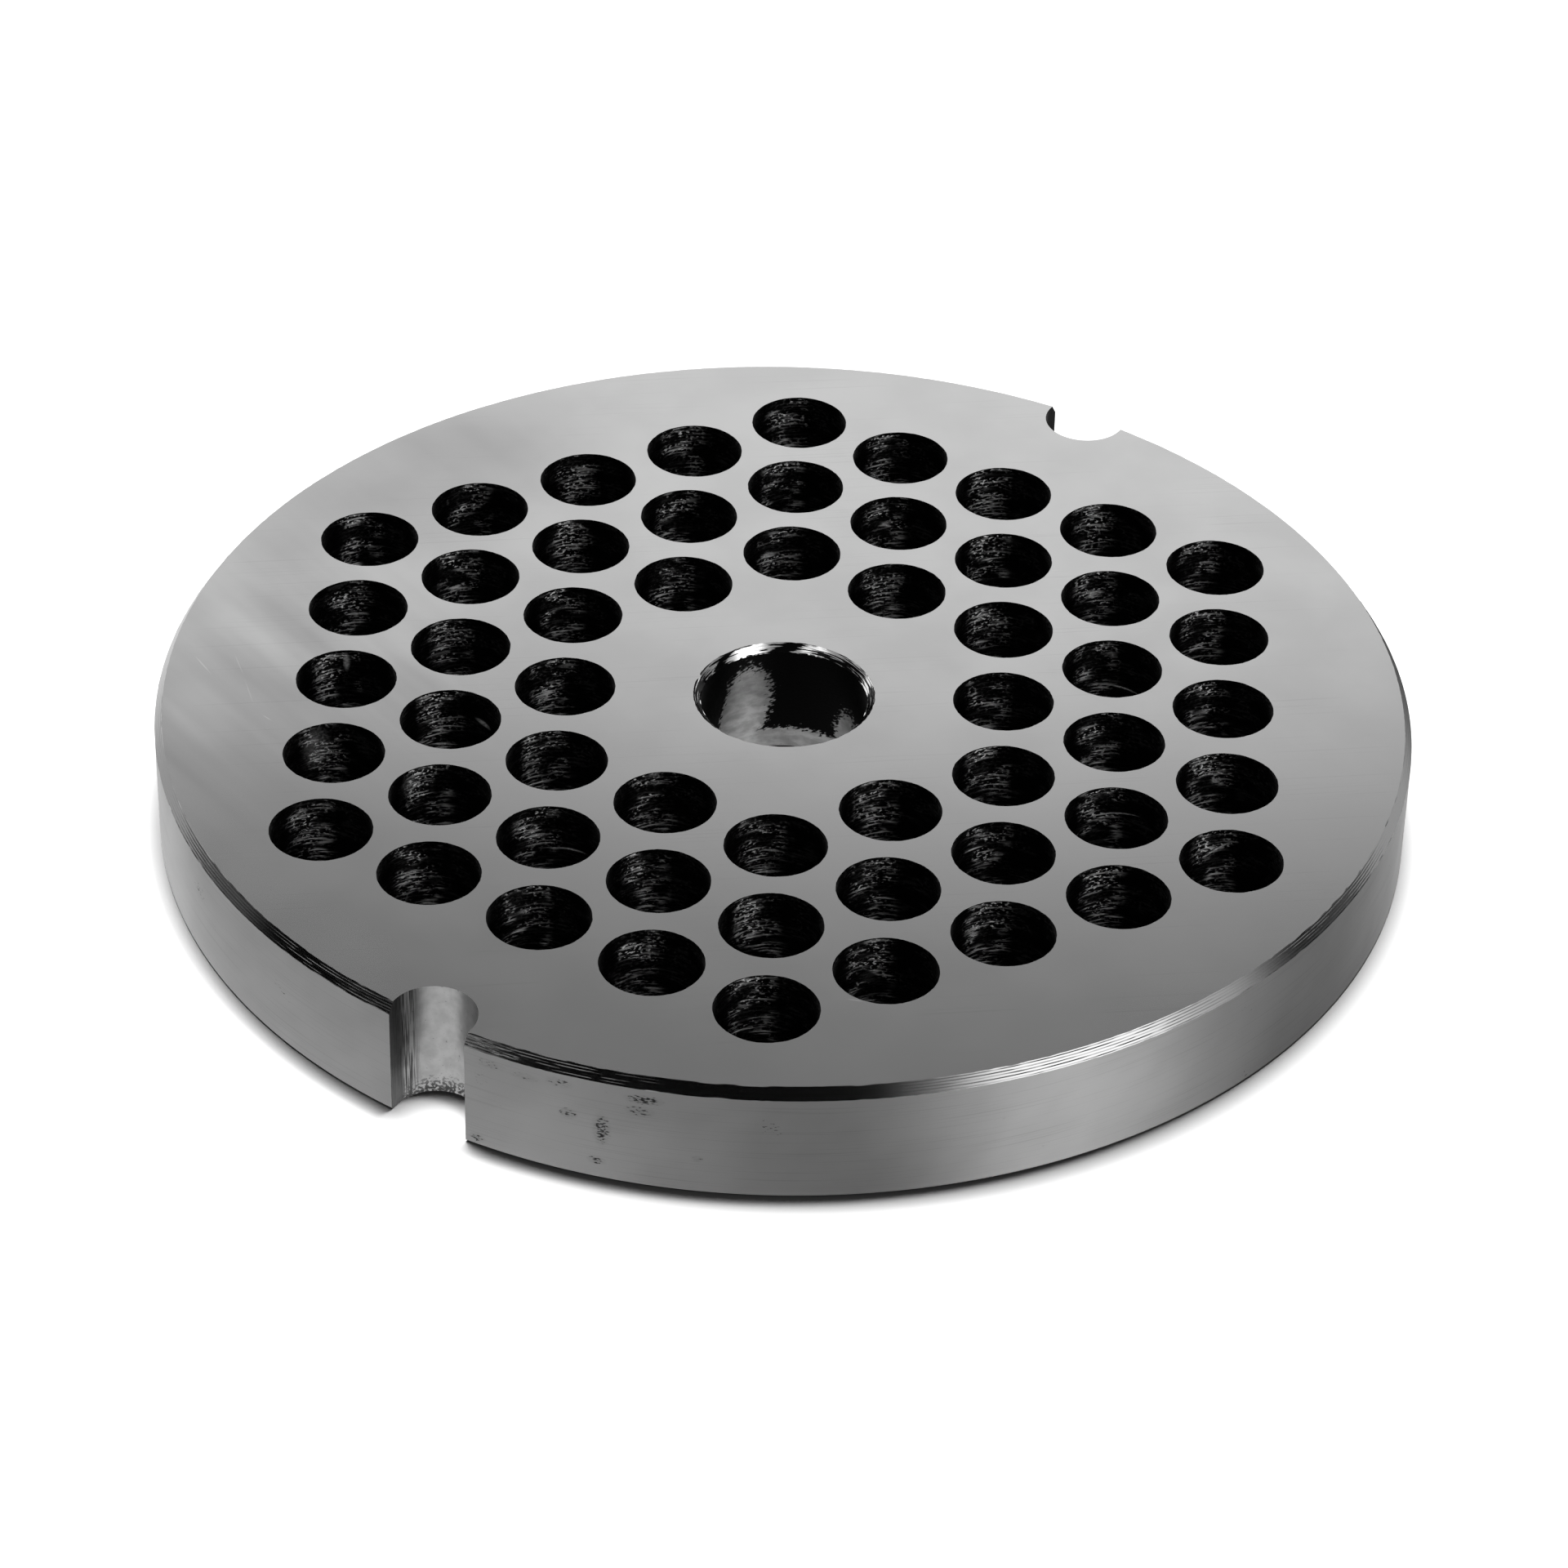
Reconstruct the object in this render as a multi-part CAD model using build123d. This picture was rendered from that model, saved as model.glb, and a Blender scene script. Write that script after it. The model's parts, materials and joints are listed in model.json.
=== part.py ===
"""Meat grinder plate: a round steel disc, drilled all over on a hexagonal lattice.

It closes the mouth of the grinder's barrel. The cutting blade sweeps its upper face, the shaft's
stud turns in its bore, and a key in the barrel's mouth sits in one of its two rim notches.
Millimetres. The origin is the centre of the back face, and +Z runs up to the cutting face.
"""

from build123d import *
import math
import os

# Turned blank
plate_diameter = 100.0
plate_thickness = 10.0
rim_chamfer_width = 0.6       # measured across the cutting face
rim_chamfer_height = 0.9      # measured down the rim
back_edge_break = 0.2         # the small deburring of the back face's two round edges

# Bore for the shaft's stud
bore_diameter = 13.3
bore_chamfer = 0.6

# Drilled field: every lattice place whose hole leaves both lands whole gets a hole
hole_diameter = 7.94
hole_web = 2.16               # steel left between two neighbouring holes
rim_land = 5.0                # least width of solid steel outside the holes
hub_land = 4.0                # least width of solid steel round the bore

# Key notches, cut into the rim by an end mill
notch_width = 6.7
notch_depth = 4.35            # from the rim to the deepest point of the round end
notch_angles = (90.0, 270.0)  # about the axis, from +X

plate_radius = plate_diameter / 2
bore_radius = bore_diameter / 2
hole_radius = hole_diameter / 2
hole_pitch = hole_diameter + hole_web
row_spacing = hole_pitch * math.sin(math.radians(60))


def turned_blank():
    """The disc as it leaves the lathe: rim, chamfer, bore and edge breaks are one revolved section."""
    section = [
        (bore_radius + back_edge_break, 0),
        (plate_radius - back_edge_break, 0),
        (plate_radius, back_edge_break),
        (plate_radius, plate_thickness - rim_chamfer_height),
        (plate_radius - rim_chamfer_width, plate_thickness),
        (bore_radius + bore_chamfer, plate_thickness),
        (bore_radius, plate_thickness - bore_chamfer),
        (bore_radius, back_edge_break),
    ]
    with BuildPart() as blank:
        with BuildSketch(Plane.XZ):
            with BuildLine():
                Polyline(*section, close=True)
            make_face()
        revolve(axis=Axis.Z)
    return blank.part


def hole_places():
    """Lattice places in the drilled band, rows along X, with one lattice place on the axis itself."""
    nearest = bore_radius + hub_land + hole_radius
    farthest = plate_radius - rim_land - hole_radius
    rows = math.ceil(farthest / row_spacing)
    columns = 2 * math.ceil(farthest / hole_pitch)
    places = []
    for row in range(-rows, rows + 1):
        for column in range(-columns, columns + 1):
            x = (column + row / 2) * hole_pitch
            y = row * row_spacing
            if nearest <= math.hypot(x, y) <= farthest:
                places.append((x, y))
    return places


def drilled_holes():
    """The drill's cuts through the whole thickness, straight and sharp at the cutting face."""
    with BuildPart() as cuts:
        with BuildSketch():
            with Locations(*hole_places()):
                Circle(hole_radius)
        extrude(amount=plate_thickness)
    return cuts.part


def key_notches():
    """The end mill's cuts: each has straight sides, runs out through the rim and ends in a half circle."""
    end_radius = notch_width / 2
    end_centre = plate_radius - notch_depth + end_radius
    slot_run = plate_radius - end_centre + notch_width
    with BuildPart() as cuts:
        with BuildSketch():
            for angle in notch_angles:
                with Locations(Rotation(0, 0, angle)):
                    with Locations((end_centre, 0)):
                        Circle(end_radius)
                        Rectangle(slot_run, notch_width, align=(Align.MIN, Align.CENTER))
        extrude(amount=plate_thickness)
    return cuts.part


grinder_plate = turned_blank() - drilled_holes() - key_notches()

os.makedirs("parts", exist_ok=True)
export_step(grinder_plate, "parts/grinder_plate.step")
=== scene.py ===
"""The finish of a meat grinder plate: one piece of hardened tool steel, turned, drilled, milled and lapped.

The file is laid out as an add-on and is run as a script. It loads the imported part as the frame, models
the plate round it with its turning rings, worn edges and drilled walls, gives every surface the steel
that its process leaves, and sets the plate on a pale floor in soft studio light. Metres throughout.
"""

import json
import math

import bmesh
import bpy
from mathutils import Matrix, Vector, noise


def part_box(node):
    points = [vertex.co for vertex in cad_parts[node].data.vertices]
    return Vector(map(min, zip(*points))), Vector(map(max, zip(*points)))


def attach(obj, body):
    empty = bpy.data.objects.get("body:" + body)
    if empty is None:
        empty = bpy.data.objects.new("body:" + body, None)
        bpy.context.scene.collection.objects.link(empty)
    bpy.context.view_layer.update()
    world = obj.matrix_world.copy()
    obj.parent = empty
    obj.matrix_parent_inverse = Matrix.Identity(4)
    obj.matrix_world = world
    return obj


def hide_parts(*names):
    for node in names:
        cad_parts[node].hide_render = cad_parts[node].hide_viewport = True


bl_info = {
    "name": "Meat grinder plate finish",
    "version": (1, 0, 0),
    "blender": (4, 5, 0),
    "location": "View3D > Sidebar > Grinder plate",
    "description": "Models a drilled grinder plate and its worn steel surfaces on a studio floor",
    "category": "Object",
}

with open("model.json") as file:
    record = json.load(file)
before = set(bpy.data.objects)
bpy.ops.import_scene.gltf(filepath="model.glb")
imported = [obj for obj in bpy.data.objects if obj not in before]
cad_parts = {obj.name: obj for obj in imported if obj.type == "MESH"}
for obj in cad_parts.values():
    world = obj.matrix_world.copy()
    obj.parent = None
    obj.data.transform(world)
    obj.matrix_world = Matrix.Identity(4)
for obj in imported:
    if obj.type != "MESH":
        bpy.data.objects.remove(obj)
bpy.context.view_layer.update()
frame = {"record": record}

MM = 0.001
NODE = "grinder_plate"
LOW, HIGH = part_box(NODE)
PLATE_DIAMETER = HIGH[0] - LOW[0]
PLATE_THICKNESS = HIGH[2] - LOW[2]
MOUNTS = {mount["name"]: mount for mount in frame["record"]["mounts"]}
BORE_RADIUS = MOUNTS["bore"]["dims"]["r_mm"] * MM

# Surfaces of the plate, in the order of its material slots
FACE, CHAMFER, RIM, HOLE, BORE, BORE_EDGE, NOTCH, BACK = range(8)


# ---------------------------------------------------------------- what a user can change

class PlateSizes(bpy.types.PropertyGroup):
    """Sizes of the plate that its maker sets."""

    rim_chamfer_width: bpy.props.FloatProperty(
        name="Rim chamfer width", description="Chamfer measured across the cutting face",
        default=0.6 * MM, unit="LENGTH")
    rim_chamfer_height: bpy.props.FloatProperty(
        name="Rim chamfer height", description="Chamfer measured down the rim",
        default=0.9 * MM, unit="LENGTH")
    edge_break: bpy.props.FloatProperty(
        name="Edge break", description="Deburring of the back face's round edges",
        default=0.2 * MM, unit="LENGTH")
    bore_chamfer: bpy.props.FloatProperty(
        name="Bore chamfer", description="Chamfer at the bore's mouth",
        default=0.6 * MM, unit="LENGTH")
    hole_diameter: bpy.props.FloatProperty(
        name="Hole diameter", description="Diameter of the drilled holes",
        default=7.94 * MM, unit="LENGTH")
    hole_web: bpy.props.FloatProperty(
        name="Hole web", description="Steel left between two neighbouring holes",
        default=2.16 * MM, unit="LENGTH")
    rim_land: bpy.props.FloatProperty(
        name="Rim land", description="Least width of solid steel outside the holes",
        default=5.0 * MM, unit="LENGTH")
    hub_land: bpy.props.FloatProperty(
        name="Hub land", description="Least width of solid steel round the bore",
        default=4.0 * MM, unit="LENGTH")
    hole_lip: bpy.props.FloatProperty(
        name="Hole lip", description="Worn edge of each hole at the two faces",
        default=0.05 * MM, unit="LENGTH")
    notch_width: bpy.props.FloatProperty(
        name="Notch width", description="Width of the key notches in the rim",
        default=6.7 * MM, unit="LENGTH")
    notch_depth: bpy.props.FloatProperty(
        name="Notch depth", description="Depth of the key notches, measured from the rim",
        default=4.35 * MM, unit="LENGTH")


class SteelColours(bpy.types.PropertyGroup):
    """Colours of the steel as each process leaves it, as sRGB hex values; two of them also stand for painted
    light.
    """

    lapped: bpy.props.StringProperty(
        name="Lapped steel", description="Cutting face", default="#CCCCCC")
    lapped_worn: bpy.props.StringProperty(
        name="Lapped steel, worn", description="Hazy patches of the cutting face",
        default="#C8C8C8")
    turned: bpy.props.StringProperty(
        name="Turned steel", description="Rim chamfer", default="#C4C4C4")
    ground: bpy.props.StringProperty(
        name="Ground steel", description="Rim and back face", default="#DCDCDC")
    ground_worn: bpy.props.StringProperty(
        name="Ground steel, worn", description="Dull patches of the rim", default="#D2D2D2")
    # Bare rubbed metal, also used for painted glints on the hole walls and painted reflection in the bore
    # and on its chamfer
    rubbed_and_sheen: bpy.props.StringProperty(
        name="Rubbed steel", description="Bright places of the walls and of the bore chamfer",
        default="#F0F0F0")
    # Hardening scale and dirt, also used for painted shade in the rim chamfer's grooves and on the notches'
    # flat walls, and for painted dark reflection on the bore chamfer
    scale: bpy.props.StringProperty(
        name="Hardening scale", description="Dark skin and dirt left in the bore, notches and grooves",
        default="#161616")
    wall_scale: bpy.props.StringProperty(
        name="Hole wall scale", description="Darker skin inside the drilled holes", default="#0A0A0A")
    milled: bpy.props.StringProperty(
        name="Milled steel", description="Walls of the key notches", default="#B6B6B6")
    milled_worn: bpy.props.StringProperty(
        name="Milled steel, worn", description="Mottled patches of the notch walls", default="#A6A6A6")


class StudioSettings(bpy.types.PropertyGroup):
    """The floor, the light and the camera."""

    floor: bpy.props.StringProperty(
        name="Floor", description="Colour of the pale floor", default="#F0F0F0")
    floor_gain: bpy.props.FloatProperty(
        name="Floor gain", description="How much whiter the camera sees the floor than it is lit",
        default=1.65)
    camera_azimuth: bpy.props.FloatProperty(
        name="Camera azimuth", description="Turn round the plate, from its front towards +X",
        default=math.radians(31.03), subtype="ANGLE", unit="ROTATION")
    camera_elevation: bpy.props.FloatProperty(
        name="Camera elevation", description="Height of the camera's line of sight over the floor",
        default=math.radians(36.115), subtype="ANGLE", unit="ROTATION")
    camera_distance: bpy.props.FloatProperty(
        name="Camera distance", description="From the camera to the point it looks at",
        default=427.36 * MM, unit="LENGTH")
    camera_roll: bpy.props.FloatProperty(
        name="Camera roll", description="Tilt of the camera about its line of sight",
        default=math.radians(1.363), subtype="ANGLE", unit="ROTATION")
    camera_aim_x: bpy.props.FloatProperty(
        name="Aim X", description="Point of the cutting face that the camera looks at",
        default=6.428 * MM, unit="LENGTH")
    camera_aim_y: bpy.props.FloatProperty(
        name="Aim Y", description="Point of the cutting face that the camera looks at",
        default=-10.373 * MM, unit="LENGTH")
    lens: bpy.props.FloatProperty(
        name="Lens", description="Focal length on a 36 mm wide sensor, in millimetres",
        default=125.85)


# ---------------------------------------------------------------- mesh helpers

def spin_solid(section, steps):
    """Turns a section of (radius, height) points round Z and closes both its ends flat."""
    bm = bmesh.new()
    verts = [bm.verts.new((radius, 0, height)) for radius, height in section]
    edges = [bm.edges.new(pair) for pair in zip(verts, verts[1:])]
    bmesh.ops.spin(
        bm, geom=verts + edges, cent=(0, 0, 0), axis=(0, 0, 1), angle=math.tau, steps=steps, use_merge=True)
    for height in (section[0][1], section[-1][1]):
        loop = [edge for edge in bm.edges if edge.is_boundary and abs(edge.verts[0].co.z - height) < 1e-7]
        bmesh.ops.edgeloop_fill(bm, edges=loop)
    bmesh.ops.recalc_face_normals(bm, faces=bm.faces)
    return bm


def scallops(start, end, count, depth, parts=4):
    """Points from start to end along shallow concave tool rings, without the end point."""
    start, end = Vector(start), Vector(end)
    along = end - start
    outward = Vector((along.y, -along.x)).normalized()
    points = []
    for ring in range(count):
        for part in range(parts):
            share = part / parts
            place = start + along * (ring + share) / count
            place -= outward * depth * 4 * share * (1 - share)
            points.append((place.x, place.y))
    return points


def hole_places(sizes):
    """Centres of the drilled holes: every lattice place that leaves both lands whole."""
    pitch = sizes.hole_diameter + sizes.hole_web
    row_spacing = pitch * math.sin(math.radians(60))
    nearest = BORE_RADIUS + sizes.hub_land + sizes.hole_diameter / 2
    farthest = PLATE_DIAMETER / 2 - sizes.rim_land - sizes.hole_diameter / 2
    rows = math.ceil(farthest / row_spacing)
    columns = 2 * math.ceil(farthest / pitch)
    places = []
    for row in range(-rows, rows + 1):
        for column in range(-columns, columns + 1):
            x = (column + row / 2) * pitch
            y = row * row_spacing
            if nearest <= math.hypot(x, y) <= farthest:
                places.append((x, y))
    return places


def new_object(name, bm):
    mesh = bpy.data.meshes.new(name)
    bm.to_mesh(mesh)
    bm.free()
    piece = bpy.data.objects.new(name, mesh)
    bpy.context.collection.objects.link(piece)
    return piece


# ---------------------------------------------------------------- the plate's mesh

PAST = 0.6 * MM               # how far a cutter runs past the plate's faces
RIM_STEPS = 720
BORE_STEPS = 288
HOLE_STEPS = 96
NOTCH_STEPS = 96
RIM_RINGS = 5                 # tool rings on the rim chamfer
RIM_RING_DEPTH = 0.0035 * MM
BORE_RINGS = 3                # tool rings on the bore chamfer
BORE_RING_DEPTH = -0.006 * MM
ON_EDGE = 1e-6                # a vertex nearer than this to a sharp edge lies on it
NEAR_EDGE = 0.05 * MM         # and nearer than this to a chamfer's edge, after the cuts
NEAR_LIP = 0.02 * MM
SHARP_EDGE = 9                # degrees: a flatter edge is shaded smooth
WALL_STEP = 40.0              # millimetres from one hole's unrolled wall to the next one's
BORE_REGION = 0.2 * MM        # how far past its chamfer a face still belongs to the bore
RIM_REGION = 0.1 * MM

# How far each edge wanders from its true line, in millimetres, and the size of the wandering's grains
FACE_EDGE_FRAY = 0.03
BORE_EDGE_FRAY = 0.05
RIM_FOOT_FRAY = 0.04
BORE_FOOT_FRAY = 0.09
COARSE_FRAY = 1.1
FINE_FRAY = 0.35
# The burr on the bore's edge: how far it stands out, in millimetres, and its azimuth and half width
BURR_HEIGHT = 0.22
BURR_AZIMUTH = -166           # degrees
BURR_WIDTH = 3.0              # degrees


def turned_blank(sizes):
    """The solid disc: back edge break, rim, and a chamfer that keeps its tool rings."""
    radius = PLATE_DIAMETER / 2
    top = PLATE_THICKNESS
    section = [(radius - sizes.edge_break, 0.0), (radius, sizes.edge_break)]
    section += scallops((radius, top - sizes.rim_chamfer_height), (radius - sizes.rim_chamfer_width, top),
                        RIM_RINGS, RIM_RING_DEPTH)
    section += [(radius - sizes.rim_chamfer_width, top)]
    return spin_solid(section, RIM_STEPS)


def bore_cutter(sizes):
    """What the boring bar takes away: the bore, its chamfer's tool rings and its back edge break."""
    top = PLATE_THICKNESS
    edge = sizes.edge_break
    section = [(BORE_RADIUS + edge + PAST, -PAST), (BORE_RADIUS, edge)]
    section += scallops((BORE_RADIUS, top - sizes.bore_chamfer), (BORE_RADIUS + sizes.bore_chamfer, top),
                        BORE_RINGS, BORE_RING_DEPTH)
    section += [(BORE_RADIUS + sizes.bore_chamfer + PAST, top + PAST)]
    return spin_solid(section, BORE_STEPS)


def hole_cutter(sizes):
    """What the drill takes away, with the worn lip at each face."""
    radius = sizes.hole_diameter / 2
    lip = sizes.hole_lip
    section = [(radius + lip + PAST, -PAST), (radius, lip)]
    section += [(radius, PLATE_THICKNESS - lip), (radius + lip + PAST, PLATE_THICKNESS + PAST)]
    return spin_solid(section, HOLE_STEPS)


def add_copy(bm, mesh, place):
    """Adds a copy of a mesh to a bmesh, moved to a place on the plate."""
    before = len(bm.verts)
    bm.from_mesh(mesh)
    bm.verts.ensure_lookup_table()
    bmesh.ops.translate(bm, verts=bm.verts[before:], vec=(place[0], place[1], 0))


def notch_cutter(sizes):
    """The end mill's two cuts, each a round-ended block that runs out past the rim."""
    end_radius = sizes.notch_width / 2
    end_centre = PLATE_DIAMETER / 2 - sizes.notch_depth + end_radius
    bm = bmesh.new()
    for side in (-1, 1):
        circle = bmesh.ops.create_circle(bm, cap_ends=True, radius=end_radius, segments=NOTCH_STEPS)
        verts = circle["verts"]
        for vert in verts:
            if vert.co.y > 1e-9:
                vert.co.y += 2 * sizes.notch_depth
        faces = list({face for vert in verts for face in vert.link_faces})
        bmesh.ops.translate(bm, verts=verts, vec=(0, end_centre, -PAST))
        solid = bmesh.ops.extrude_face_region(bm, geom=faces, use_keep_orig=True)
        raised = [item for item in solid["geom"] if isinstance(item, bmesh.types.BMVert)]
        bmesh.ops.translate(bm, verts=raised, vec=(0, 0, PLATE_THICKNESS + 2 * PAST))
        if side < 0:
            half_turn = Matrix.Rotation(math.pi, 3, "Z")
            bmesh.ops.rotate(bm, verts=verts + raised, cent=(0, 0, 0), matrix=half_turn)
    bmesh.ops.recalc_face_normals(bm, faces=bm.faces)
    return bm


def all_cutters(sizes):
    """Bore, drilled holes and notches as one set of separate solids."""
    bm = notch_cutter(sizes)
    for cutter, places in ((bore_cutter(sizes), [(0.0, 0.0)]), (hole_cutter(sizes), hole_places(sizes))):
        mesh = bpy.data.meshes.new("cutter")
        cutter.to_mesh(mesh)
        cutter.free()
        for place in places:
            add_copy(bm, mesh, place)
        bpy.data.meshes.remove(mesh)
    return bm


def cut_away(piece, cutter):
    """Cuts one object out of another and puts the result in the first one's mesh."""
    cut = piece.modifiers.new("cuts", "BOOLEAN")
    cut.operation = "DIFFERENCE"
    cut.solver = "EXACT"
    cut.object = cutter
    done = bpy.data.meshes.new_from_object(piece.evaluated_get(bpy.context.evaluated_depsgraph_get()))
    piece.modifiers.clear()
    old = piece.data
    piece.data = done
    done.name = piece.name
    bpy.data.meshes.remove(old)
    bpy.data.objects.remove(cutter)


def fray_edges(piece, sizes):
    """Frays the chamfers' edges and the hole lips by a few hundredths of a millimetre, inside the box."""
    radius = PLATE_DIAMETER / 2
    top = PLATE_THICKNESS
    places = hole_places(sizes)
    for vert in piece.data.vertices:
        co = vert.co
        reach = math.hypot(co.x, co.y)
        wander = 0.5 * noise.noise(co / (COARSE_FRAY * MM)) + noise.noise(co / (FINE_FRAY * MM))
        if co.z > top - ON_EDGE:
            if abs(reach - radius + sizes.rim_chamfer_width) < NEAR_EDGE:
                grow = 1 + FACE_EDGE_FRAY * MM * wander / reach
                co.x, co.y = co.x * grow, co.y * grow
            elif abs(reach - BORE_RADIUS - sizes.bore_chamfer) < NEAR_EDGE:
                # A burr stands into the bore at its left
                azimuth = math.degrees(math.atan2(co.y, co.x))
                burr = math.exp(-((azimuth - BURR_AZIMUTH) / BURR_WIDTH) ** 2)
                grow = 1 + (BORE_EDGE_FRAY * wander - BURR_HEIGHT * burr) * MM / reach
                co.x, co.y = co.x * grow, co.y * grow
            else:
                lip = sizes.hole_diameter / 2 + sizes.hole_lip
                for x, y in places:
                    if math.hypot(co.x - x, co.y - y) < lip + NEAR_LIP:
                        grow = 1 + FACE_EDGE_FRAY * MM * wander / lip
                        co.x, co.y = x + (co.x - x) * grow, y + (co.y - y) * grow
                        break
        elif abs(co.z - top + sizes.rim_chamfer_height) < ON_EDGE and abs(reach - radius) < ON_EDGE:
            co.z += RIM_FOOT_FRAY * MM * wander
        elif abs(co.z - top + sizes.bore_chamfer) < ON_EDGE and abs(reach - BORE_RADIUS) < ON_EDGE:
            co.z += BORE_FOOT_FRAY * MM * wander
    # The unrolled map follows, so that the smear of the reflections stays upright
    unrolled_map = piece.data.uv_layers["unrolled"].uv
    for face in piece.data.polygons:
        if face.material_index not in (FACE, BACK):
            for index in face.loop_indices:
                height = piece.data.vertices[piece.data.loops[index].vertex_index].co.z / MM
                unrolled_map[index].vector = (unrolled_map[index].vector.x, height)


def surface_of(centre, normal, sizes, places):
    """Which of the plate's surfaces a face belongs to, and the axis that it is turned about."""
    radius = PLATE_DIAMETER / 2
    reach = math.hypot(centre.x, centre.y)
    flat = abs(normal.z) > 0.999
    if flat:
        return (FACE if normal.z > 0 else BACK), None
    if reach < BORE_RADIUS + sizes.bore_chamfer + BORE_REGION:
        above = centre.z > PLATE_THICKNESS - sizes.bore_chamfer
        return (BORE_EDGE if above else BORE), (0.0, 0.0)
    for place in places:
        offset = math.hypot(centre.x - place[0], centre.y - place[1])
        if offset < sizes.hole_diameter / 2 + sizes.hole_lip:
            return HOLE, place
    outward = (centre.x * normal.x + centre.y * normal.y) / reach
    on_rim = reach > radius - sizes.rim_chamfer_width - RIM_REGION
    if on_rim and outward > 0.5:
        above = centre.z > PLATE_THICKNESS - sizes.rim_chamfer_height
        return (CHAMFER if above else RIM), (0.0, 0.0)
    return NOTCH, (0.0, math.copysign(radius - sizes.notch_depth + sizes.notch_width / 2, centre.y))


def mark_surfaces(piece, sizes):
    """Gives each face its material, and unrolls it in millimetres: round the axis, then up it."""
    places = hole_places(sizes)
    bm = bmesh.new()
    bm.from_mesh(piece.data)
    bm.faces.ensure_lookup_table()
    unrolled_map = bm.loops.layers.uv.new("unrolled")
    for face in bm.faces:
        centre = face.calc_center_median()
        surface, axis = surface_of(centre, face.normal, sizes, places)
        face.material_index = surface
        face.smooth = surface not in (FACE, BACK)
        shift = 0.0
        if surface == HOLE:
            shift = WALL_STEP * places.index(axis)
        for loop in face.loops:
            point = loop.vert.co
            if axis is None:
                loop[unrolled_map].uv = (point.x / MM, point.y / MM)
                continue
            middle = math.atan2(centre.y - axis[1], centre.x - axis[0])
            angle = math.atan2(point.y - axis[1], point.x - axis[0])
            angle = middle + math.remainder(angle - middle, math.tau)
            arm = math.hypot(centre.x - axis[0], centre.y - axis[1])
            loop[unrolled_map].uv = (angle * arm / MM + shift, point.z / MM)
    for edge in bm.edges:
        edge.smooth = len(edge.link_faces) == 2 and edge.calc_face_angle() < math.radians(SHARP_EDGE)
    bm.to_mesh(piece.data)
    bm.free()


# ---------------------------------------------------------------- materials

def linear(hex_colour):
    """An sRGB hex colour as the linear values that Blender's nodes take."""
    values = [int(hex_colour[place:place + 2], 16) / 255 for place in (1, 3, 5)]
    return tuple(v / 12.92 if v <= 0.04045 else ((v + 0.055) / 1.055) ** 2.4 for v in values) + (1.0,)


# Settings that many nodes share
ADD = {"operation": "ADD"}
MULTIPLY = {"operation": "MULTIPLY"}
MULTIPLY_ADD = {"operation": "MULTIPLY_ADD"}
LARGER = {"operation": "MAXIMUM"}
SMOOTH = {"interpolation_type": "SMOOTHSTEP"}
COLOURS = {"data_type": "RGBA"}
UNROLLED = {"uv_map": "unrolled"}
ROUND_THE_AXIS = {"direction_type": "UV_MAP", "uv_map": "unrolled"}
IN_PLACE = {"vector_type": "TEXTURE"}


def add(tree, kind, settings=None, **inputs):
    """Adds a node with its settings, and sets or links its inputs.

    An input is named, or numbered after an i. A node given as an input stands for its first output in use.
    """
    node = tree.nodes.new(kind)
    for name, value in (settings or {}).items():
        setattr(node, name, value)
    for name, value in inputs.items():
        key = int(name[1:]) if name[0] == "i" and name[1:].isdigit() else name.replace("_", " ")
        socket = node.inputs[key]
        if isinstance(value, bpy.types.Node):
            value = next(output for output in value.outputs if output.enabled)
        if isinstance(value, bpy.types.NodeSocket):
            tree.links.new(value, socket)
        else:
            socket.default_value = value
    return node


def new_material(name):
    material = bpy.data.materials.new(name)
    material.use_nodes = True
    material.node_tree.nodes.clear()
    return material, material.node_tree


def grain(tree, where, size, turn=0.0, detail=2.0):
    """Noise from 0 to 1. Its grains have the given size along, across and through, turned about Z."""
    laid = add(tree, "ShaderNodeMapping", IN_PLACE, Vector=where, Rotation=(0, 0, turn), Scale=size)
    return add(tree, "ShaderNodeTexNoise", Vector=laid, Scale=1.0, Detail=detail)


def patch(tree, where, centre, size, turn=0.0):
    """1 at the centre of an ellipse with the given half length and half width, 0 at its edge."""
    laid = add(tree, "ShaderNodeMapping", IN_PLACE, Vector=where, Location=(*centre, 0.0),
               Rotation=(0, 0, turn), Scale=(*size, 1e6))
    reach = add(tree, "ShaderNodeVectorMath", {"operation": "LENGTH"}, i0=laid)
    return add(tree, "ShaderNodeMapRange", SMOOTH, Value=reach, From_Min=1.0, From_Max=0.25)


def patches(tree, where, marks):
    """Adds up patches, each given as centre, size, turn in degrees and weight."""
    total = 0.0
    for centre, size, turn, weight in marks:
        mark = patch(tree, where, centre, size, math.radians(turn))
        total = add(tree, "ShaderNodeMath", MULTIPLY_ADD, i0=mark, i1=weight, i2=total)
    return total


def steel(tree, **inputs):
    """Ends a material as bare steel: all metal, with the colour, roughness and relief that it is given."""
    bare = add(tree, "ShaderNodeBsdfPrincipled", Metallic=1.0, **inputs)
    add(tree, "ShaderNodeOutputMaterial", Surface=bare)


# Painted reflection on the cutting face: pale and dark fans where the lapping plate left it wavy, each given
# as centre, half length and half width in millimetres, turn in degrees, and how much lighter or darker they
# are painted
PAINTED_REFLECTION_FANS = (
    ((-39.8, -17.7), (9.5, 3.0), -22, 0.17),
    ((-38.5, -13.5), (8.0, 2.4), -22, -0.11),
    ((-37.5, -20.4), (9.0, 2.6), -20, -0.12),
    ((-37.2, -28.0), (7.0, 3.6), -30, 0.12),
    ((-27.8, -11.2), (6.5, 2.4), -24, 0.07),
    ((-25.3, -14.8), (6.0, 2.6), -24, -0.10),
    ((-42.5, -7.0), (9.0, 6.0), -22, -0.09),
    ((-22.0, -32.5), (11.0, 5.0), -20, -0.05),
    ((-42.2, 11.9), (21.0, 14.0), 74, -0.24),
)


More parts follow.
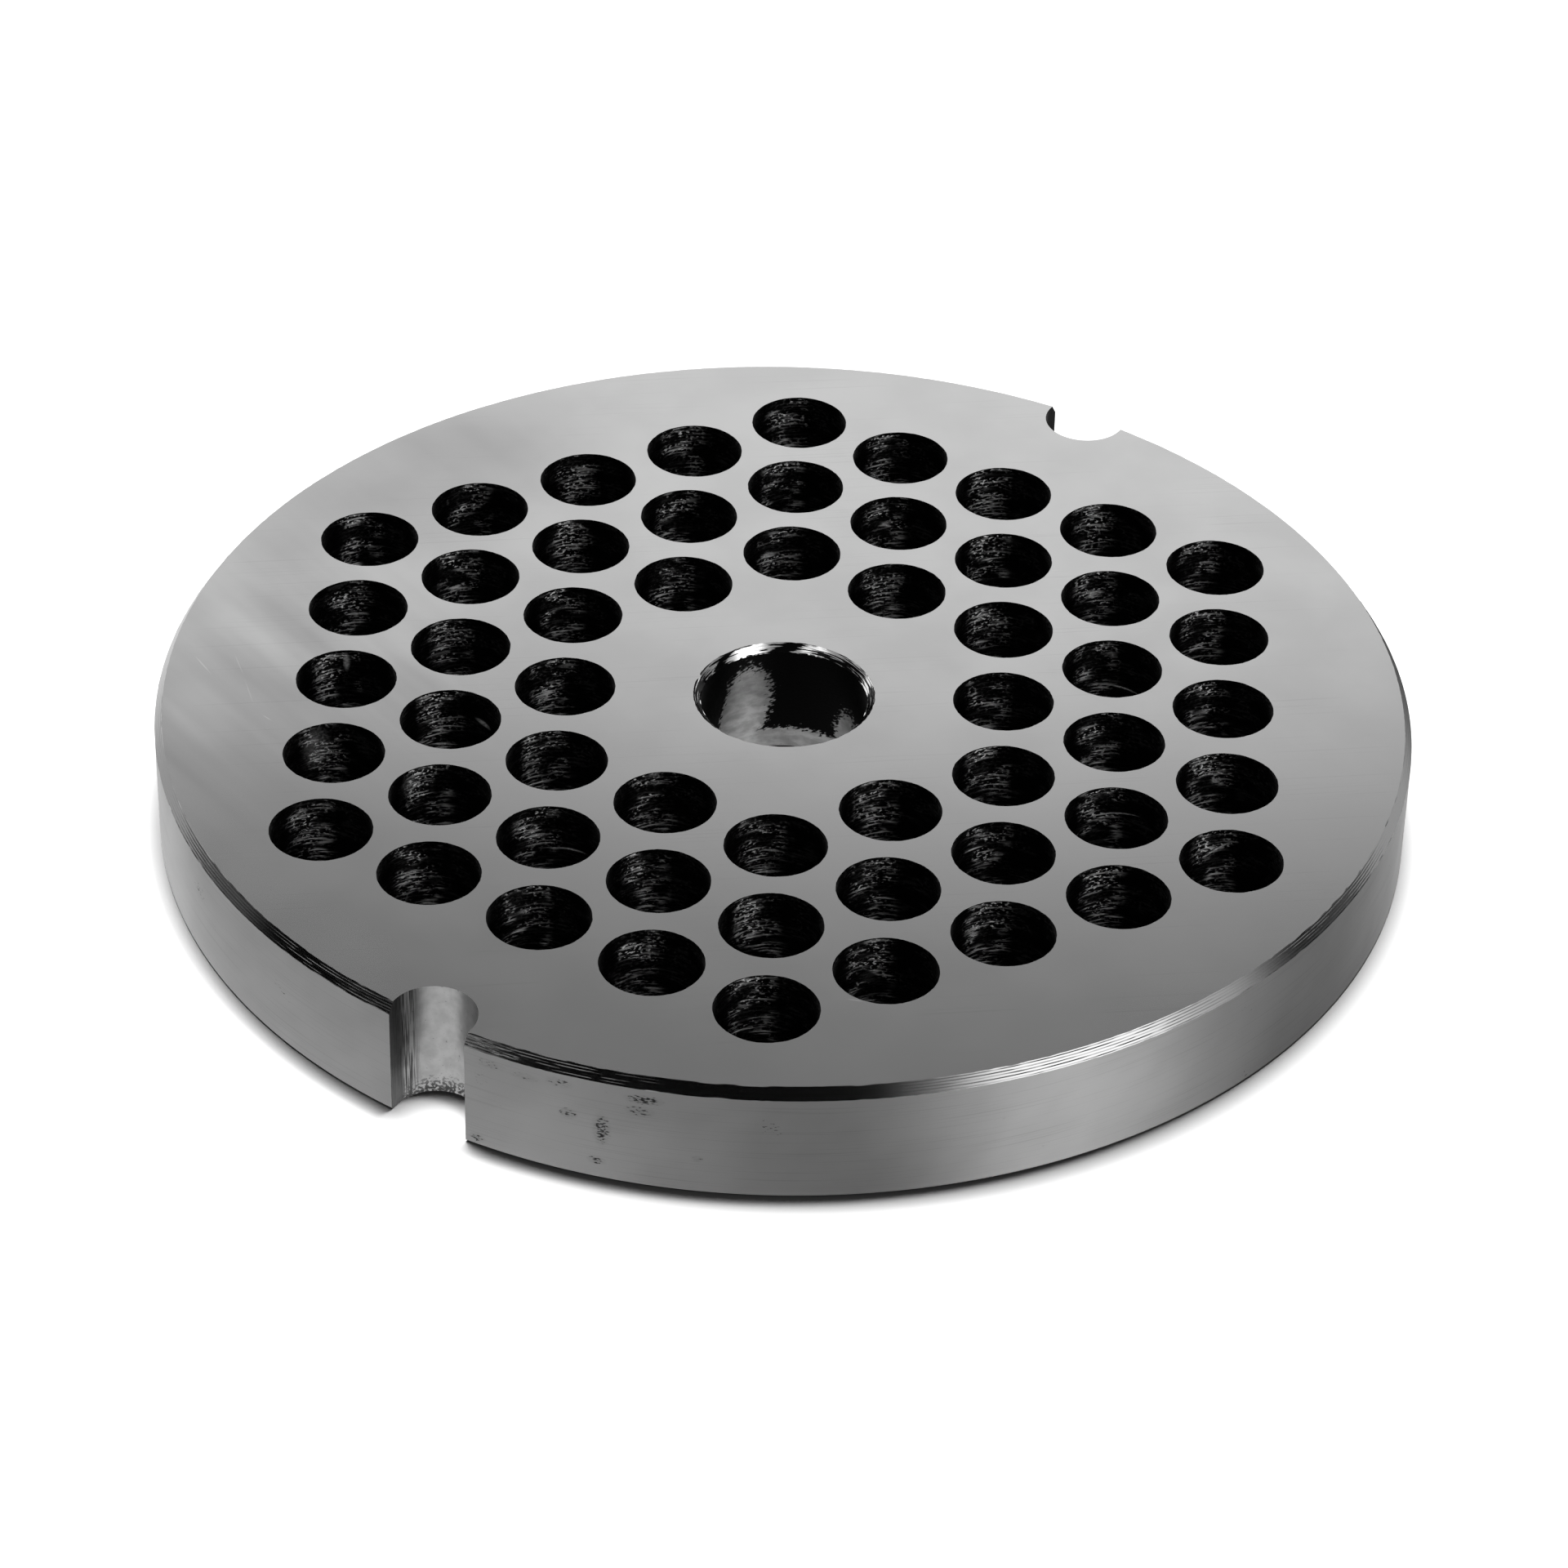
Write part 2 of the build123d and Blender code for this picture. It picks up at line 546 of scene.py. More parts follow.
# Scratches on the cutting face, given in the same way
FACE_SCRATCHES = (
    ((-41.0, -22.2), (1.7, 0.10), -27, 0.45),
    ((-32.4, -25.3), (0.7, 0.10), -14, 0.35),
    ((-38.6, -20.6), (1.9, 0.08), -40, 0.25),
    ((-35.7, -23.2), (2.0, 0.08), -42, 0.25),
    ((25.2, -30.5), (0.9, 0.12), 22, 0.6),
)


def lapped_steel(colours):
    """Cutting face: hardened tool steel, ground flat and lapped.

    Nearly a mirror: it shows the studio as one soft gradient, bent where the lapping plate left it slightly
    wavy, with pale and dark fans of painted reflection over it and a faint haze of worn patches and
    hairlines.
    """
    material, tree = new_material("lapped tool steel")
    place = add(tree, "ShaderNodeTexCoord").outputs["Object"]
    # Waves some 3 mm apart and a few hundredths of a millimetre high, on one side of the face only
    waves = grain(tree, place, (0.060, 0.0036, 0.05), turn=math.radians(-21), detail=1.5)
    away = add(tree, "ShaderNodeVectorMath", {"operation": "DISTANCE"}, i0=place,
               i1=(-0.046, -0.022, PLATE_THICKNESS))
    wavy = add(tree, "ShaderNodeMapRange", SMOOTH, Value=away, From_Min=0.008, From_Max=0.034, To_Min=1.0,
               To_Max=0.05)
    relief = add(tree, "ShaderNodeBump", Distance=0.02 * MM,
                 Height=add(tree, "ShaderNodeMath", MULTIPLY, i0=waves, i1=wavy))
    # Worn patches about 9 mm across
    haze = grain(tree, place, (0.009, 0.009, 0.009), detail=3.0)
    # Hairlines left by the lapping grit, drawn 0.15 mm wide so that they show
    hairs = grain(tree, place, (0.016, 0.00015, 0.01), turn=math.radians(38), detail=0.0)
    in_mm = add(tree, "ShaderNodeVectorMath", {"operation": "SCALE"}, i0=place, Scale=1 / MM)
    # Painted reflection: the fans lighten or darken the steel's colour itself, scaled by the waves
    painted_fans = add(tree, "ShaderNodeMath", MULTIPLY, i0=patches(tree, in_mm, PAINTED_REFLECTION_FANS),
               i1=add(tree, "ShaderNodeMapRange", SMOOTH, Value=waves, From_Min=0.2, From_Max=0.8,
                      To_Min=0.85, To_Max=1.15))
    level = add(tree, "ShaderNodeMath", ADD, i0=painted_fans, i1=1.0)
    shade = add(tree, "ShaderNodeMix", COLOURS,
                i0=add(tree, "ShaderNodeMapRange", SMOOTH, Value=haze, From_Min=0.3, From_Max=0.7),
                i6=linear(colours.lapped), i7=linear(colours.lapped_worn))
    shade = add(tree, "ShaderNodeMix", COLOURS,
                i0=add(tree, "ShaderNodeMapRange", SMOOTH, Value=hairs, From_Min=0.70, From_Max=0.80,
                       To_Min=0.0, To_Max=0.05), i6=shade, i7=linear(colours.scale))
    shade = add(tree, "ShaderNodeMix", COLOURS, i0=patches(tree, in_mm, FACE_SCRATCHES), i6=shade,
                i7=linear(colours.rubbed_and_sheen))
    colour = add(tree, "ShaderNodeVectorMath", {"operation": "SCALE"}, i0=shade, Scale=level)
    steel(tree, Base_Color=colour,
          Roughness=add(tree, "ShaderNodeMapRange", SMOOTH, Value=haze, From_Min=0.3, From_Max=0.7,
                        To_Min=0.125, To_Max=0.145), Normal=relief)
    return material


# Where the rim chamfer's rings tore: centre, half length and half height on the unrolled chamfer in
# millimetres, turn in degrees, and how rough they are
TORN_RINGS = (
    ((-88.0, 9.6), (9.0, 2.0), 0, 0.9),
    ((-67.0, 9.7), (10.5, 1.2), 0, 1.0),
    ((-3.0, 9.9), (9.0, 1.0), 0, 0.6),
)
# Where the grooves between the rings are painted dark, as painted shade beside the bright reflection
GROOVE_SHADE_PATCHES = (
    ((-28.0, 9.6), (17.0, 3.0), 0, 1.0),
    ((-104.0, 9.6), (12.0, 3.0), 0, 0.35),
)


def chamfer_steel(colours):
    """Rim chamfer: turned with a pointed tool, then left bright.

    It mirrors the dark room and the side softbox in thin rings, broken where the metal tore, and it is
    dented beside the front notch. Where it mirrors the softbox, the grooves between its rings are painted
    dark, as painted shade.
    """
    material, tree = new_material("turned chamfer steel")
    where = add(tree, "ShaderNodeUVMap", UNROLLED)
    height = add(tree, "ShaderNodeSeparateXYZ", Vector=where).outputs["Y"]
    # One ring for each 0.18 mm of feed, broken into dashes of a few millimetres
    ring = add(tree, "ShaderNodeMath", {"operation": "PINGPONG"}, i0=height, i1=0.09)
    dashes = grain(tree, where, (3.2, 0.16, 1.0), detail=3.0)
    rings = add(tree, "ShaderNodeMath", MULTIPLY,
                i0=add(tree, "ShaderNodeMapRange", SMOOTH, Value=ring, From_Min=0.045, From_Max=0.085),
                i1=add(tree, "ShaderNodeMapRange", SMOOTH, Value=dashes, From_Min=0.44, From_Max=0.58))
    rings = add(tree, "ShaderNodeMath", MULTIPLY, i0=rings, i1=patches(tree, where, TORN_RINGS))
    torn = grain(tree, where, (1.3, 0.12, 1.0), detail=4.0)
    dents = add(tree, "ShaderNodeMath", MULTIPLY, i0=patch(tree, where, (-73.0, 9.6), (4.5, 1.4)),
                i1=add(tree, "ShaderNodeMapRange", SMOOTH, Value=torn, From_Min=0.50, From_Max=0.62,
                       To_Min=0.0, To_Max=0.8))
    rough = add(tree, "ShaderNodeMath", LARGER, i0=rings, i1=dents)
    # Painted shade: the grooves between the rings are drawn dark
    groove_shade = add(tree, "ShaderNodeMath", MULTIPLY,
                 i0=add(tree, "ShaderNodeMapRange", SMOOTH, Value=ring, From_Min=0.050, From_Max=0.020),
                 i1=add(tree, "ShaderNodeMapRange", SMOOTH, Value=dashes, From_Min=0.60, From_Max=0.46,
                        To_Min=0.35, To_Max=1.0))
    groove_shade = add(tree, "ShaderNodeMath", MULTIPLY, i0=groove_shade, i1=patches(tree, where, GROOVE_SHADE_PATCHES))
    colour = add(tree, "ShaderNodeMix", COLOURS, i0=groove_shade, i6=linear(colours.turned),
                 i7=linear(colours.scale))
    relief = add(tree, "ShaderNodeBump", Distance=0.004 * MM, Height=torn)
    steel(tree, Base_Color=colour,
          Roughness=add(tree, "ShaderNodeMapRange", SMOOTH, Value=rough, From_Min=0.0, From_Max=1.0,
                        To_Min=0.13, To_Max=0.62), Normal=relief)
    return material


# Clusters of rust pits on the rim: centre, half length and half height on the unrolled rim in millimetres,
# turn in degrees, and how thick they are
RUST_CLUSTERS = (
    ((-61.0, 8.15), (1.8, 0.55), 0, 1.0),
    ((-61.3, 7.05), (1.4, 0.7), 0, 0.6),
    ((-64.2, 4.7), (0.9, 1.9), 0, 0.9),
    ((-64.6, 1.7), (0.9, 0.5), 0, 0.8),
    ((-66.8, 5.6), (0.9, 0.6), 0, 0.8),
    ((-67.5, 8.3), (1.4, 0.6), 0, 0.45),
    ((-70.2, 8.0), (1.5, 0.5), 0, 0.35),
    ((-73.0, 8.2), (1.5, 0.6), 0, 0.35),
    ((-74.2, 0.8), (0.8, 0.5), 0, 0.7),
    ((-57.0, 3.2), (0.6, 0.4), 0, 0.5),
)


def rim_steel(colours):
    """Rim: cylindrically ground. Its fine rings smear every reflection up and down, and it has rust pits."""
    material, tree = new_material("ground rim steel")
    where = add(tree, "ShaderNodeUVMap", UNROLLED)
    tangent = add(tree, "ShaderNodeTangent", ROUND_THE_AXIS)
    # Dull patches 6 to 9 mm across, and grinding rings drawn 0.12 mm wide so that they show
    cloud = grain(tree, where, (9.0, 6.0, 1.0), turn=0.5, detail=2.0)
    rings = grain(tree, where, (14.0, 0.12, 1.0), detail=1.0)
    shade = add(tree, "ShaderNodeMix", COLOURS,
                i0=add(tree, "ShaderNodeMapRange", SMOOTH, Value=cloud, From_Min=0.3, From_Max=0.7),
                i6=linear(colours.ground), i7=linear(colours.ground_worn))
    shade = add(tree, "ShaderNodeMix", COLOURS,
                i0=add(tree, "ShaderNodeMapRange", SMOOTH, Value=rings, From_Min=0.55, From_Max=0.8,
                       To_Min=0.0, To_Max=0.12), i6=shade, i7=linear(colours.scale))
    # Rust pits 0.2 to 0.5 mm across: in clusters, and a few by themselves
    pits = grain(tree, where, (0.40, 0.15, 1.0), detail=3.0)
    cluster = patches(tree, where, RUST_CLUSTERS)
    stray = add(tree, "ShaderNodeMapRange", SMOOTH, Value=grain(tree, where, (5.0, 4.0, 1.0), detail=1.0),
                From_Min=0.66, From_Max=0.80, To_Min=0.0, To_Max=0.45)
    where_rusty = add(tree, "ShaderNodeMath", ADD, i0=cluster, i1=stray)
    edge = add(tree, "ShaderNodeMath", MULTIPLY_ADD, i0=where_rusty, i1=0.22, i2=pits)
    rust = add(tree, "ShaderNodeMath", MULTIPLY,
               i0=add(tree, "ShaderNodeMapRange", SMOOTH, Value=edge, From_Min=0.66, From_Max=0.74),
               i1=add(tree, "ShaderNodeMapRange", SMOOTH, Value=where_rusty, From_Min=0.02, From_Max=0.3))
    smudge = add(tree, "ShaderNodeMath", MULTIPLY, i0=cluster,
                 i1=add(tree, "ShaderNodeMapRange", SMOOTH, Value=pits, From_Min=0.3, From_Max=0.7,
                        To_Min=0.05, To_Max=0.40))
    shade = add(tree, "ShaderNodeMix", COLOURS, i0=smudge, i6=shade, i7=linear(colours.scale))
    colour = add(tree, "ShaderNodeMix", COLOURS,
                 i0=add(tree, "ShaderNodeMath", MULTIPLY, i0=rust, i1=0.85), i6=shade,
                 i7=linear(colours.scale))
    steel(tree, Base_Color=colour, Roughness=0.58, Anisotropic=0.96, Anisotropic_Rotation=0.25,
          Tangent=tangent)
    return material


# The side of each hole, seen from its axis, that mirrors the side softbox and alone gets the bare bright
# metal, as a painted glint: its azimuth in degrees
PAINTED_GLINT_SIDE = 139
# Marks on single hole walls: centre, half length and half height on the unrolled walls in millimetres,
# turn in degrees, and how bright they are. Holes lie one wall step apart there.
WALL_MARKS = (
    ((448.7, 8.9), (0.35, 1.1), 0, 0.8),
    ((485.8, 7.4), (1.0, 0.30), 15, 0.9),
    ((210.2, 7.9), (1.6, 2.4), 0, 0.12),
    ((251.3, 8.7), (0.9, 1.1), 0, 0.12),
    ((1169.1, 8.3), (1.5, 0.12), -31, 1.0),
    ((1128.2, 7.55), (2.2, 0.10), -3, 1.0),
    ((890.8, 7.85), (1.1, 0.12), 0, 1.0),
    ((1647.7, 5.6), (2.8, 0.12), 7, 1.0),
    ((286.7, 6.2), (1.8, 0.12), -6, 1.0),
)


def scaled_wall(colours):
    """Hole walls: drilled, then blackened by hardening.

    Dark, with bright dashes of bare metal on the drill's rings that show the side softbox; they are kept to
    the side of each hole that mirrors it, so they are partly painted glints.
    """
    material, tree = new_material("drilled steel with hardening scale")
    where = add(tree, "ShaderNodeUVMap", UNROLLED)
    tangent = add(tree, "ShaderNodeTangent", ROUND_THE_AXIS)
    height = add(tree, "ShaderNodeSeparateXYZ", Vector=where).outputs["Y"]
    # The drill's rings, 0.22 mm apart, between specks of 0.2 to 0.3 mm, in areas of about 2 mm
    rings = grain(tree, where, (1.9, 0.22, 1.0), detail=2.0)
    specks = grain(tree, where, (0.34, 0.20, 1.0), detail=2.0)
    areas = grain(tree, where, (2.6, 1.5, 1.0), detail=1.0)
    drawn = add(tree, "ShaderNodeMath", MULTIPLY,
                i0=add(tree, "ShaderNodeMapRange", SMOOTH, Value=rings, From_Min=0.50, From_Max=0.66),
                i1=add(tree, "ShaderNodeMapRange", SMOOTH, Value=height, From_Min=9.0, From_Max=5.5,
                       To_Min=0.5, To_Max=1.0))
    bright = add(tree, "ShaderNodeMath", MULTIPLY,
                 i0=add(tree, "ShaderNodeMapRange", SMOOTH, Value=specks, From_Min=0.54, From_Max=0.64),
                 i1=add(tree, "ShaderNodeMapRange", SMOOTH, Value=height, From_Min=4.5, From_Max=7.5,
                        To_Min=0.25, To_Max=1.0))
    rubbed_and_sheen = add(tree, "ShaderNodeMath", LARGER, i0=drawn, i1=bright)
    rubbed_and_sheen = add(tree, "ShaderNodeMath", MULTIPLY, i0=rubbed_and_sheen,
                 i1=add(tree, "ShaderNodeMapRange", SMOOTH, Value=areas, From_Min=0.42, From_Max=0.58,
                        To_Min=0.04, To_Max=1.0))
    # Painted glint: the bare bright metal is kept to the side of each hole that mirrors the side softbox
    facing = add(tree, "ShaderNodeTexCoord").outputs["Normal"]
    side = math.radians(PAINTED_GLINT_SIDE)
    painted_glint_side = add(tree, "ShaderNodeVectorMath", {"operation": "DOT_PRODUCT"}, i0=facing,
                      i1=(-math.cos(side), -math.sin(side), 0.0))
    rubbed_and_sheen = add(tree, "ShaderNodeMath", MULTIPLY, i0=rubbed_and_sheen,
                 i1=add(tree, "ShaderNodeMapRange", SMOOTH, Value=painted_glint_side, From_Min=0.84,
                        From_Max=0.96, To_Min=0.05, To_Max=1.0))
    colour = add(tree, "ShaderNodeMix", COLOURS, i0=rubbed_and_sheen, i6=linear(colours.wall_scale),
                 i7=linear(colours.rubbed_and_sheen))
    marks = add(tree, "ShaderNodeMath", MULTIPLY, i0=patches(tree, where, WALL_MARKS),
                i1=add(tree, "ShaderNodeMapRange", SMOOTH, Value=specks, From_Min=0.30, From_Max=0.55,
                       To_Min=0.55, To_Max=1.0))
    colour = add(tree, "ShaderNodeMix", COLOURS, i0=marks, i6=colour, i7=linear(colours.rubbed_and_sheen))
    grooves = add(tree, "ShaderNodeMath", ADD, i0=rings, i1=specks)
    relief = add(tree, "ShaderNodeBump", Distance=0.15 * MM, Height=grooves)
    steel(tree, Base_Color=colour, Roughness=0.55, Anisotropic=0.97, Anisotropic_Rotation=0.25,
          Tangent=tangent, Normal=relief)
    return material


# Grey patches of painted reflection on the bore: centre, half length and half height on the unrolled bore in
# millimetres, turn in degrees, and how strongly they are painted
BORE_REFLECTION_PATCHES = (
    ((17.1, 5.3), (3.3, 5.6), 0, 1.0),
    ((18.4, 2.6), (3.2, 4.2), 0, 0.8),
    ((8.1, 2.7), (2.5, 4.4), 0, 0.85),
)


def bored_steel(colours):
    """Bore: bored and blackened by hardening, with ragged grey patches and a grey strip at its foot that are
    painted reflection.
    """
    material, tree = new_material("bored steel with hardening scale")
    where = add(tree, "ShaderNodeUVMap", UNROLLED)
    tangent = add(tree, "ShaderNodeTangent", ROUND_THE_AXIS)
    # The painted grey patches end raggedly, in shreds of a millimetre and crumbs of a few tenths
    fray = grain(tree, where, (1.1, 0.6, 1.0), detail=3.0)
    crumbs = grain(tree, where, (0.45, 0.20, 1.0), turn=math.radians(-20), detail=3.0)
    height = add(tree, "ShaderNodeSeparateXYZ", Vector=where).outputs["Y"]
    # Painted reflection: a grey strip along the foot of the bore, fading out upwards
    foot_reflection = add(tree, "ShaderNodeMapRange", SMOOTH, Value=height, From_Min=2.8, From_Max=1.2)
    bare = add(tree, "ShaderNodeMath", LARGER, i0=patches(tree, where, BORE_REFLECTION_PATCHES), i1=foot_reflection)
    bare = add(tree, "ShaderNodeMath", MULTIPLY, i0=bare,
               i1=add(tree, "ShaderNodeMapRange", SMOOTH, Value=height, From_Min=9.2, From_Max=6.6,
                      To_Min=0.62, To_Max=1.0))
    edge = add(tree, "ShaderNodeMath", MULTIPLY_ADD, i0=crumbs, i1=1.5, i2=bare)
    edge = add(tree, "ShaderNodeMath", MULTIPLY_ADD, i0=fray, i1=0.5, i2=edge)
    rubbed_and_sheen = add(tree, "ShaderNodeMapRange", SMOOTH, Value=edge, From_Min=1.42, From_Max=1.66)
    # The painted grey reflection, mottled in shreds and darker higher up the bore
    bright = add(tree, "ShaderNodeMix", COLOURS,
                 i0=add(tree, "ShaderNodeMapRange", SMOOTH, Value=fray, From_Min=0.3, From_Max=0.7,
                        To_Min=0.1, To_Max=0.4), i6=linear(colours.rubbed_and_sheen), i7=linear(colours.scale))
    bright = add(tree, "ShaderNodeMix", COLOURS,
                 i0=add(tree, "ShaderNodeMapRange", SMOOTH, Value=height, From_Min=2.0, From_Max=7.0,
                        To_Min=0.0, To_Max=0.45), i6=bright, i7=linear(colours.scale))
    colour = add(tree, "ShaderNodeMix", COLOURS, i0=rubbed_and_sheen, i6=linear(colours.scale), i7=bright)
    relief = add(tree, "ShaderNodeBump", Distance=0.02 * MM, Height=crumbs)
    steel(tree, Base_Color=colour, Roughness=0.6, Anisotropic=0.95, Anisotropic_Rotation=0.25,
          Tangent=tangent, Normal=relief)
    return material


# Where the bore chamfer gets a painted dark reflection, and where a painted bright one: the same four
# numbers, on the unrolled bore
DARK_REFLECTION_PATCHES = (
    ((14.5, 9.7), (1.3, 2.4), 0, 1.0),
    ((9.2, 9.5), (4.4, 0.6), 0, 0.55),
    ((3.6, 9.7), (2.4, 2.0), 0, 0.45),
    ((20.3, 9.7), (1.0, 2.0), 0, 0.80),
    ((-19.0, 9.7), (2.2, 2.0), 0, 0.65),
)
BRIGHT_REFLECTION_PATCHES = (((17.7, 9.7), (1.7, 2.4), 0, 1.0),)


def bore_chamfer_steel(colours):
    """Bore chamfer: turned bright, with a torn edge; its dark patches and one bright patch are painted
    reflection.
    """
    material, tree = new_material("turned bore chamfer steel")
    where = add(tree, "ShaderNodeUVMap", UNROLLED)
    # Torn metal in streaks of 0.1 mm
    torn = grain(tree, where, (2.2, 0.10, 1.0), detail=4.0)
    relief = add(tree, "ShaderNodeBump", Distance=0.006 * MM, Height=torn)
    dark_reflection = add(tree, "ShaderNodeMath", MULTIPLY_ADD, i0=patches(tree, where, DARK_REFLECTION_PATCHES), i1=0.30,
                i2=torn)
    dark_reflection = add(tree, "ShaderNodeMath", MULTIPLY_ADD, i0=patches(tree, where, BRIGHT_REFLECTION_PATCHES), i1=-0.16,
                i2=dark_reflection)
    colour = add(tree, "ShaderNodeMix", COLOURS,
                 i0=add(tree, "ShaderNodeMapRange", SMOOTH, Value=dark_reflection, From_Min=0.52, From_Max=0.60),
                 i6=linear(colours.rubbed_and_sheen), i7=linear(colours.scale))
    steel(tree, Base_Color=colour, Roughness=0.16, Normal=relief)
    return material


def milled_steel(colours):
    """Key notches: end milled, satin and pale, with feed lines where the flat walls meet the round end; the
    flat walls are painted dark as painted shade, and the walls darken towards the foot.
    """
    material, tree = new_material("milled notch steel")
    place = add(tree, "ShaderNodeTexCoord").outputs["Object"]
    where = add(tree, "ShaderNodeUVMap", UNROLLED)
    # Feed lines 0.12 mm apart that run down the wall, over a mottle of about a millimetre
    feed = grain(tree, where, (0.12, 4.0, 1.0), detail=4.0)
    mottle = grain(tree, where, (0.9, 1.1, 1.0), detail=4.0)
    specks = grain(tree, where, (0.26, 0.26, 1.0), detail=2.0)
    across = add(tree, "ShaderNodeSeparateXYZ", Vector=place).outputs
    side = add(tree, "ShaderNodeMath", {"operation": "ABSOLUTE"}, i0=across["X"])
    corner = add(tree, "ShaderNodeMath", MULTIPLY,
                 i0=add(tree, "ShaderNodeMapRange", SMOOTH, Value=side, From_Min=2.55 * MM,
                        From_Max=3.15 * MM),
                 i1=add(tree, "ShaderNodeMapRange", SMOOTH, Value=feed, From_Min=0.42, From_Max=0.58,
                        To_Min=0.1, To_Max=1.0))
    # Painted shade: the flat walls are drawn darker
    flat = add(tree, "ShaderNodeMapRange", SMOOTH, Value=side, From_Min=3.22 * MM, From_Max=3.33 * MM,
               To_Min=0.0, To_Max=0.80)
    # Darker towards the foot, in ragged specks
    foot = add(tree, "ShaderNodeMapRange", SMOOTH, Value=across["Z"], From_Min=2.6 * MM,
               From_Max=0.1 * MM)
    pits = add(tree, "ShaderNodeMapRange", SMOOTH, Value=specks, From_Min=0.66, From_Max=0.74, To_Min=0.0,
               To_Max=0.5)
    crumbs = add(tree, "ShaderNodeMath", MULTIPLY_ADD, i0=foot, i1=0.24, i2=specks)
    ragged = add(tree, "ShaderNodeMath", MULTIPLY,
                 i0=add(tree, "ShaderNodeMapRange", SMOOTH, Value=crumbs, From_Min=0.62, From_Max=0.76),
                 i1=foot)
    worn_and_shade = add(tree, "ShaderNodeMath", LARGER, i0=pits, i1=ragged)
    worn_and_shade = add(tree, "ShaderNodeMath", LARGER, i0=worn_and_shade, i1=corner)
    worn_and_shade = add(tree, "ShaderNodeMath", LARGER, i0=add(tree, "ShaderNodeMath", MULTIPLY, i0=worn_and_shade, i1=0.88),
               i1=flat)
    shade = add(tree, "ShaderNodeMix", COLOURS,
                i0=add(tree, "ShaderNodeMapRange", SMOOTH, Value=mottle, From_Min=0.3, From_Max=0.7),
                i6=linear(colours.milled), i7=linear(colours.milled_worn))
    shade = add(tree, "ShaderNodeMix", COLOURS, i0=worn_and_shade, i6=shade, i7=linear(colours.scale))
    relief = add(tree, "ShaderNodeBump", Distance=0.02 * MM, Height=mottle)
    steel(tree, Base_Color=shade, Roughness=0.36, Normal=relief)
    return material


def ground_back_steel(colours):
    """Back face: surface ground, with long straight lines."""
    material, tree = new_material("surface ground back steel")
    place = add(tree, "ShaderNodeTexCoord").outputs["Object"]
    # Lines of the grinding wheel, drawn 0.4 mm wide so that they show
    lines = grain(tree, place, (0.060, 0.0004, 0.01), turn=math.radians(25), detail=2.0)
    shade = add(tree, "ShaderNodeMix", COLOURS,
                i0=add(tree, "ShaderNodeMapRange", SMOOTH, Value=lines, From_Min=0.35, From_Max=0.7),
                i6=linear(colours.lapped), i7=linear(colours.ground))
    steel(tree, Base_Color=shade, Roughness=0.28)
    return material


def plate_materials(colours):
    """The plate's materials, in the order of its surfaces from the face to the back."""
    makers = (lapped_steel, chamfer_steel, rim_steel, scaled_wall,
              bored_steel, bore_chamfer_steel, milled_steel, ground_back_steel)
    return [make(colours) for make in makers]


# ---------------------------------------------------------------- stage

def window(tree, value, low, high, soft):
    """1 between low and high, falling smoothly to 0 over the soft width outside."""
    rise = add(tree, "ShaderNodeMapRange", SMOOTH, Value=value, From_Min=low - soft, From_Max=low + soft)
    fall = add(tree, "ShaderNodeMapRange", SMOOTH, Value=value, From_Min=high - soft,
               From_Max=high + soft, To_Min=1.0, To_Max=0.0)
    return add(tree, "ShaderNodeMath", MULTIPLY, i0=rise, i1=fall)


# What the steel mirrors, by direction. Each has, in degrees, the azimuth of its middle from +X, its half
# width, the elevation of its middle, its half height and its soft edge, and then its brightness, where 1
# is white. Azimuths run from -140 to 220, past which there is no card.
CARDS = {
    "backdrop": (124, 57, 20.5, 15.5, 1.9, 1.22),
    "upper wall": (128, 75, 60, 25, 4, 0.25),
    "side softbox": (-7, 16, 29, 26, 8, 1.5),
    "side curtain": (-2, 28, 26, 29, 12, 0.80),
    "side lamp": (4, 11, 47, 3, 3, 2.6),
    "ceiling": (40, 400, 88, 14, 5, 0.50),
    "left fill": (-105, 20, 50, 5, 3, 1.3),
    "left wall": (202, 20, 44, 22, 3, 0.34),
    "left corner": (-130, 22, 44, 22, 3, 0.34),
    "front wall": (-60, 45, 56, 14, 5, 0.34),
    "front table": (-60, 42, 7, 9, 4, 0.42),
    "right wall": (66, 30, 41, 20, 5, 0.30),
    "left horizon": (186, 20, 0, 9, 5, 0.14),
    "right horizon": (52, 18, 0, 7, 4, 0.10),
}
AZIMUTH_MIDDLE = 40           # degrees: azimuths run from half a turn below this to half a turn above
ROOM_DARK = 0.002             # between the cards
ROOM_DIFFUSE = 0.03           # all that the room lends to rays that have met a matt surface
SAG_MIDDLE = 119              # degrees: the azimuth at which the backdrop's top edge is highest
SAG_DEPTH = 0.85              # degrees


